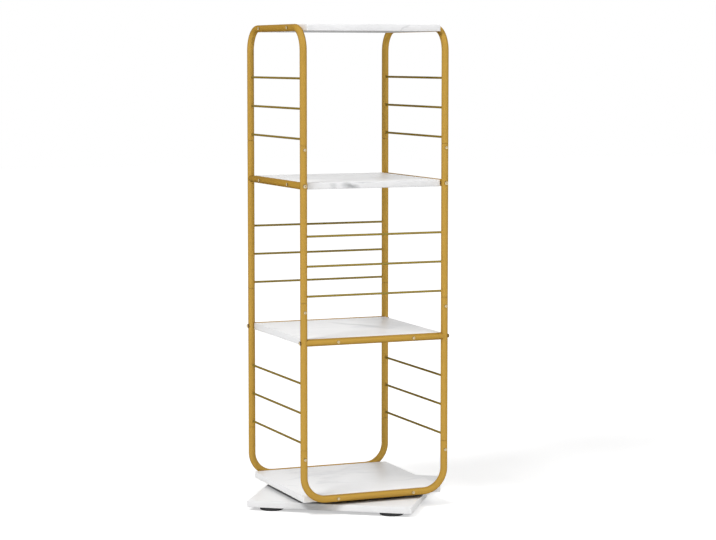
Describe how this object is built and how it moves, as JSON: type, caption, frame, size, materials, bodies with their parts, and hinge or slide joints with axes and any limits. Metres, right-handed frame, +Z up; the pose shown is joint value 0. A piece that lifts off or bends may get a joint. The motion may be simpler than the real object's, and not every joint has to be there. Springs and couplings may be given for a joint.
{
  "type": "revolving bookcase",
  "caption": "Tall open bookcase of bent gold tubes with rod ladders and square marble-look shelves, which turns on a square base board to show every side.",
  "frame": {"origin": "on the floor, on the upright axis that the tower turns about", "axes": "+Z up; the tower stands square to X and Y, with its front face towards -Y and its left face towards -X"},
  "size_m": [0.529, 0.529, 1.1025],
  "materials": {
    "gold_paint": "satin metallic",
    "marble_board": "smooth printed laminate, white marble with soft grey veins",
    "screw_steel": "polished, with a cross recess",
    "foot_rubber": "matte",
    "turntable_steel": "zinc-plated"
  },
  "bodies": {
    "base": {"base_board": "marble_board", "foot_back_left": "foot_rubber", "foot_back_right": "foot_rubber", "foot_front_left": "foot_rubber", "foot_front_right": "foot_rubber", "turntable_lower_plate": "turntable_steel"},
    "tower": {"bottom_frame_back": "gold_paint", "bottom_frame_front": "gold_paint", "bottom_shelf": "marble_board", "bottom_shelf_screw_back_a": "screw_steel", "bottom_shelf_screw_back_b": "screw_steel", "bottom_shelf_screw_front_a": "screw_steel", "bottom_shelf_screw_front_b": "screw_steel", "crossbar_back": "gold_paint", "crossbar_back_screw_a": "screw_steel", "crossbar_back_screw_b": "screw_steel", "crossbar_front": "gold_paint", "crossbar_front_screw_a": "screw_steel", "crossbar_front_screw_b": "screw_steel", "crossbar_left": "gold_paint", "crossbar_left_screw_a": "screw_steel", "crossbar_left_screw_b": "screw_steel", "crossbar_right": "gold_paint", "crossbar_right_screw_a": "screw_steel", "crossbar_right_screw_b": "screw_steel", "joint_screw_bottom_back_a": "screw_steel", "joint_screw_bottom_back_b": "screw_steel", "joint_screw_bottom_front_a": "screw_steel", "joint_screw_bottom_front_b": "screw_steel", "joint_screw_middle_back_a": "screw_steel", "joint_screw_middle_back_b": "screw_steel", "joint_screw_middle_front_a": "screw_steel", "joint_screw_middle_front_b": "screw_steel", "joint_screw_top_back_a": "screw_steel", "joint_screw_top_back_b": "screw_steel", "joint_screw_top_front_a": "screw_steel", "joint_screw_top_front_b": "screw_steel", "lower_frame_left": "gold_paint", "lower_frame_right": "gold_paint", "lower_shelf": "marble_board", "lower_shelf_screw_back_a": "screw_steel", "lower_shelf_screw_back_b": "screw_steel", "lower_shelf_screw_front_a": "screw_steel", "lower_shelf_screw_front_b": "screw_steel", "middle_frame_back": "gold_paint", "middle_frame_front": "gold_paint", "top_frame_left": "gold_paint", "top_frame_right": "gold_paint", "top_shelf": "marble_board", "top_shelf_screw_left_a": "screw_steel", "top_shelf_screw_left_b": "screw_steel", "top_shelf_screw_right_a": "screw_steel", "top_shelf_screw_right_b": "screw_steel", "turntable_upper_plate": "turntable_steel", "upper_shelf": "marble_board", "upper_shelf_screw_left_a": "screw_steel", "upper_shelf_screw_left_b": "screw_steel", "upper_shelf_screw_right_a": "screw_steel", "upper_shelf_screw_right_b": "screw_steel"},
    "cage": {"ball_cage": "turntable_steel"}
  },
  "joints": [
    {"name": "tower_spin", "type": "hinge", "parent": "base", "child": "tower", "pos_m": [0, 0, 0.027], "axis": [0, 0, 1], "continuous": true},
    {"name": "cage_spin", "type": "hinge", "parent": "base", "child": "cage", "pos_m": [0, 0, 0.027], "axis": [0, 0, 1], "continuous": true}
  ],
  "couplings": [
    {"joint": "cage_spin", "follows": "tower_spin", "ratio": 0.5}
  ]
}
